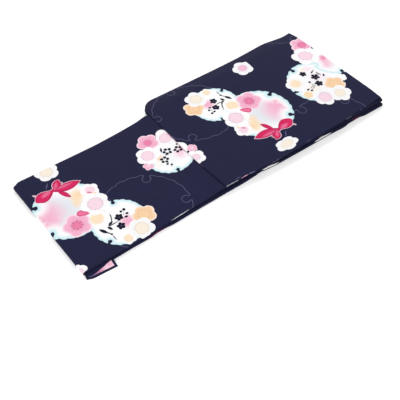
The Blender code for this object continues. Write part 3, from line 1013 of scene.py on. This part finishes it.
collar_end = collar_tip()
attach(collar_end, "root")
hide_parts("collar_tip")

# ----------------------------------------
# The sleeves. Each is a flat tube of one cloth, folded at the shoulder line and sewn along its bottom, with a
# rounded corner below the wrist opening. The left one lies on top of the fold, the right one between its
# halves.

SLEEVE_WIDTH = 0.332
SLEEVE_CORNER = 0.036
WRIST_OPENING = 0.23
ARMHOLE = 0.23
ARMHOLE_HEM = 0.004
HEM_TO_MIDDLE = 0.01
BEFORE_CORNER = 0.006
BOTTOM_SEAM = 0.003
DROOP_ENDS = 0.015
BOTTOM_DRIFTS = 0.12
STEPS_ROUND_CORNER = 14
STEPS_ROUND_TUBE = 8
WRIST_SECTIONS = 6

# How far the near and far edges have drifted along the sleeve, and its bottom edge across it, in millimetres.
SLEEVE_EDGES = table("x near far", [
    (360, 2.2, 4.5), (400, 0.8, 4), (430, 1, 3), (458, -5, 2), (488, -6.2, 1),
    (549, -7.2, -2), (611, -8, -5), (656, -8.8, -3), (705, -8.8, -0.8), (752, -6, 2),
    (783, -4.8, -3), (815, -4.4, -7.5), (840, -2, -3.6),
])
SLEEVE_BOTTOM = table("x bottom", [
    (0, 5), (50, 1), (89, -1), (161, -0.8), (242, 1.8), (299, 4.4), (335, 3.6),
])
SLEEVE_CREASES = [
    (0.47, 0.15, 70, 0.11, 0.01, 0.0006), (0.61, 0.21, 40, 0.08, 0.012, -0.0006),
    (0.7, 0.12, -20, 0.09, 0.01, 0.0006), (0.78, 0.23, 75, 0.06, 0.009, -0.0007),
    (0.42, 0.29, 15, 0.045, 0.007, 0.0006), (0.54, 0.05, -12, 0.08, 0.009, -0.0005),
]


def flat_loop(start, end, height):
    """(x, height above the middle, place along the cloth) round the tube."""
    radius = height / 2
    flats = spaced(start + radius, end - radius, round(SLEEVE_DROP / PITCH))
    points = [(x, radius, x) for x in flats]
    for angle in spaced(pi / 2, -pi / 2, STEPS_ROUND_TUBE)[1:-1]:
        x = end - radius + radius * cos(angle)
        points.append((x, radius * sin(angle), end + radius * (pi / 2 - angle)))
    points += [(x, -radius, 2 * end - x) for x in flats[::-1]]
    for angle in spaced(-pi / 2, pi / 2, STEPS_ROUND_TUBE)[1:-1]:
        x = start + radius - radius * cos(angle)
        points.append((x, radius * sin(angle), start - radius * (pi / 2 - angle)))
    return points


def sleeve(name, near, base, droop, edges, side, materials, creases=(), pick=None):
    """The outer and inner faces of the tube, section by section from its armhole at y = near. base(x, y) is
    the height of what it lies on, and side the column of edges that it follows."""
    start = SLEEVE_END - SLEEVE_DROP
    far = near + SLEEVE_WIDTH
    corner = far - SLEEVE_CORNER
    crossings = [(near, start), (near + ARMHOLE_HEM, start)]
    crossings += [(y, start) for y in spaced(near + HEM_TO_MIDDLE, corner - BEFORE_CORNER, STEPS_ACROSS)]
    for angle in spaced(0.0, pi / 2, STEPS_ROUND_CORNER):
        crossings.append((corner + SLEEVE_CORNER * sin(angle), start + SLEEVE_CORNER * (1 - cos(angle))))
    outer_rings = []
    inner_rings = []
    for number, (y, left) in enumerate(crossings):
        inner_left = left + BOTTOM_SEAM
        inner_right = SLEEVE_END - CLOTH
        if number == 0:
            inner_right = SLEEVE_END - ARMHOLE
        if number >= len(crossings) - WRIST_SECTIONS:
            inner_left = SLEEVE_END - WRIST_OPENING
        hanging = droop * ease(y, BACK_WIDTH, far + DROOP_ENDS) - SLEEVE_HEIGHT / 2 - RESTING_GAP
        share = (y - near) / SLEEVE_WIDTH
        for rings, loop in (
            (outer_rings, flat_loop(left, SLEEVE_END, SLEEVE_HEIGHT)),
            (inner_rings, flat_loop(inner_left, inner_right, SLEEVE_HEIGHT - 2 * CLOTH)),
        ):
            ring = []
            for x, rise, along in loop:
                height = base(x, min(y, BACK_WIDTH)) + rise - hanging
                if rise > 0:
                    height += creased(creases, x, y) * rise / (SLEEVE_HEIGHT / 2)
                slide = drift(edges, side, x) * (1 - share) + drift(edges, "far", x, reach=0.012) * share
                shift = drift(SLEEVE_BOTTOM, "bottom", y) * (1 - ease(x, start, start + BOTTOM_DRIFTS))
                ring.append(((x + shift, y + slide, height), (along, y)))
            rings.append(ring)
    return sew(name, outer_rings + inner_rings[::-1], [], materials, pick)


# Slivers of print along the near edge, as (x, y, long, wide, dye, strength).
SLEEVE_MARKS = [
    (37.6, 0.1, 2.1, 0.06, SNOW, 0.7), (39.6, 0.55, 1.0, 0.05, LILAC, 0.8),
    (41.1, 0.1, 1.1, 0.08, PINK, 0.8), (43.0, 0.08, 1.2, 0.06, LILAC, 0.9),
    (49.9, 0.1, 1.5, 0.06, LILAC, 0.9), (59.9, 0.35, 1.0, 0.05, LILAC, 0.8),
    (72.6, 0.15, 1.2, 0.06, SNOW, 0.45), (76.8, 0.2, 0.5, 0.06, LILAC, 0.8),
]


def near_motifs(cloth, ground):
    """The first block: the fish and plums, turned round, and near the armhole a plum shortened by a tuck."""
    plain = ground
    across = cloth.spot(0.0, 0.0)[1]
    ground = ground.dyed(cloth.stamp(snow_line, ground, 67.9, -0.5, -3, 10.7), across.rise(6.2, 6.5))
    ground = ground.dyed(WHITE, cloth.far(35.3, 15.5).rise(2.02, 1.94))
    ground = blossoms(cloth, ground, [
        (37.6, 13.8, 10, 1.25, PINK, PALE_PINK),
        (36.6, 11.0, 24, 2.2, WHITE, PALE_PINK, MAUVE, 0.42),
    ])
    ground = cloth.stamp(sprig_ring, ground, 56.9, 12.95, 179.2, 0.95)
    ground = cloth.stamp(fish_ring, ground, 56.95, 13.3, 180)
    ground = ground.dyed(plain, across.rise(4.55, 4.45))
    tuck = cloth.at(55.3, 2.55, 0, 3.05, 1.82)
    ground = blossoms(tuck, ground, [(0, 0, -12, 1, SNOW, CREAM, SAND)])
    ground = blossoms(cloth, ground, [(64.3, 29.0, 18, 2.7, SNOW, PINK, MAUVE, 0.4)])
    ground = ground.dyed(PINK, leaf(cloth, 35.8, 17.0, 6.4, 0.06, 90).rise(-0.01, 0.02) * 0.8)
    ground = ground.dyed(MAUVE, leaf(cloth, 35.8, 9.2, 1.9, 0.06, 90).rise(-0.01, 0.02) * 0.7)
    return edge_marks(cloth, ground, SLEEVE_MARKS)


near_print = printed_cotton("cotton_sleeve_fish", near_motifs)


def far_motifs(cloth, ground):
    """The second block, towards the shoulder line."""
    ground = cloth.stamp(snow_line, ground, 67.9, -0.5, -3, 10.7)
    ground = cloth.stamp(snow_line, ground, 84.0, 39.5, 10, 10.2)
    ground = cloth.stamp(sprig_block, ground, 76.1, 13.1)
    return edge_marks(cloth, ground, SLEEVE_MARKS)


far_print = printed_cotton("cotton_sleeve_sprig", far_motifs)

BLOCKS_MEET = 0.665
FACES_DOWN = -0.3


def sleeve_blocks(x, y, z, normal):
    """The fish block, the sprig block, and the repeat beneath."""
    if normal.z < FACES_DOWN or z < upper_top(x, min(y, BACK_WIDTH)) - 2 * SLEEVE_HEIGHT:
        return 2
    return 0 if x < BLOCKS_MEET else 1


sleeve_left = sleeve(
    "sleeve_left_cloth",
    near=0.001,
    base=upper_top,
    droop=0.007,
    edges=SLEEVE_EDGES,
    side="near",
    materials=[near_print, far_print, hidden_print],
    creases=SLEEVE_CREASES,
    pick=sleeve_blocks,
)
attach(sleeve_left, "root")
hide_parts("sleeve_left")

sleeve_right = sleeve(
    "sleeve_right_cloth",
    near=0.0035,
    base=lambda x, y: lower_top(x),
    droop=0.0032,
    edges=BODY_EDGES,
    side="upper",
    materials=[hidden_print],
)
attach(sleeve_right, "root")
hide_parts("sleeve_right")

# ----------------------------------------
# The table: a plain white sweep of paper under soft studio light.

paper = bpy.data.materials.new("paper_sweep")
paper.use_nodes = True
dial(paper.node_tree.nodes["Principled BSDF"], {
    "Base Color": (0.9, 0.9, 0.9, 1.0),
    "Roughness": 0.9,
    "Specular IOR Level": 0.1,
    "Emission Color": (1.0, 1.0, 1.0, 1.0),
    "Emission Strength": 0.3,
})

FLOOR_BELOW = 0.0002
floor_mesh = bpy.data.meshes.new("floor")
floor_mesh.from_pydata([(-9, -9, 0), (9, -9, 0), (9, 9, 0), (-9, 9, 0)], [], [(0, 1, 2, 3)])
floor_mesh.materials.append(paper)
floor = added("floor", floor_mesh)
floor.location.z = -FLOOR_BELOW

world = bpy.data.worlds.new("studio_air")
bpy.context.scene.world = world
world.use_nodes = True
dial(world.node_tree.nodes["Background"], {"Color": (1.0, 1.0, 1.0, 1.0), "Strength": 0.52})

LAMPS = [("key_softbox", (1.8, 2.6, 3.4), 2.4, 98.0), ("fill_softbox", (-2.2, -2.4, 2.2), 2.0, 64.0)]
for name, stand, size, power in LAMPS:
    lamp = bpy.data.lights.new(name, "AREA")
    lamp.shape = "DISK"
    lamp.size = size
    lamp.energy = power
    holder = added(name, lamp)
    holder.location = stand
    holder.rotation_euler = (-Vector(stand)).to_track_quat("-Z", "Y").to_euler()

CAMERA_TURN = radians(-37.67)
CAMERA_RISE = radians(44.83)
CAMERA_AWAY = 1.879
optics = bpy.data.cameras.new("camera")
optics.lens = 73.2
optics.sensor_width = 36.0
optics.shift_x = -0.0107
optics.shift_y = -0.1432
camera = added("camera", optics)
aim = Vector((0.0, -0.0047, 0.0))
away = Vector((sin(CAMERA_TURN) * cos(CAMERA_RISE), -cos(CAMERA_TURN) * cos(CAMERA_RISE), sin(CAMERA_RISE)))
camera.location = aim + CAMERA_AWAY * away
camera.rotation_euler = (-away).to_track_quat("-Z", "Y").to_euler()
bpy.context.scene.camera = camera

bpy.context.scene.view_settings.view_transform = "Standard"
